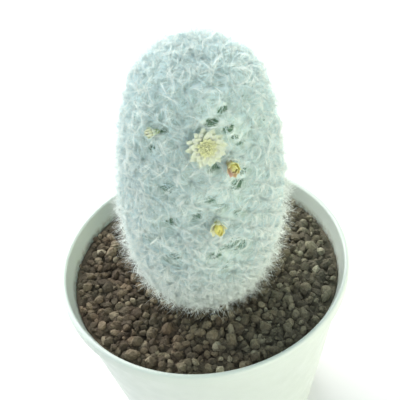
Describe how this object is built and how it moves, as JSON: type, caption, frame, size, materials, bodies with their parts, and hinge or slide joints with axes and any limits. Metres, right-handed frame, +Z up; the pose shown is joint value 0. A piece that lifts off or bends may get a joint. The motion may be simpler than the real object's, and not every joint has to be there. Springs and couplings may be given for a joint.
{
  "type": "potted powder puff cactus",
  "caption": "Round woolly column cactus with small yellow flowers, in a round tapered plastic pot filled with gravelly soil.",
  "frame": {"origin": "the middle of the pot's flat foot, on the surface that it stands on", "axes": "+Z up; -Y is the side with the flowers, which the picture shows; +X is to its right seen from there, the side the plant leans to"},
  "size_m": [0.11, 0.11, 0.1808],
  "materials": {
    "pot_plastic": "white moulded plastic with a soft sheen",
    "gravel_soil": "dry dark brown gravel with grey and tan grains",
    "woolly_stem": "green stem under a thick coat of fine white hair-like spines",
    "cream_petals": "thin matte petals, cream with a yellow throat",
    "yellow_stamens": "matte yellow stamens round a green-yellow stigma",
    "orange_petals": "matte petals, orange-yellow with pink backs",
    "yellow_petals": "matte rolled petals, bright yellow",
    "pale_yellow_petals": "matte rolled petals, pale yellow"
  },
  "bodies": {
    "root": {"pot": "pot_plastic", "soil": "gravel_soil", "cactus": "woolly_stem", "open_flower": "cream_petals", "open_flower_centre": "yellow_stamens", "half_open_flower": "orange_petals", "yellow_bud": "yellow_petals", "pale_bud": "pale_yellow_petals"}
  },
  "joints": []
}
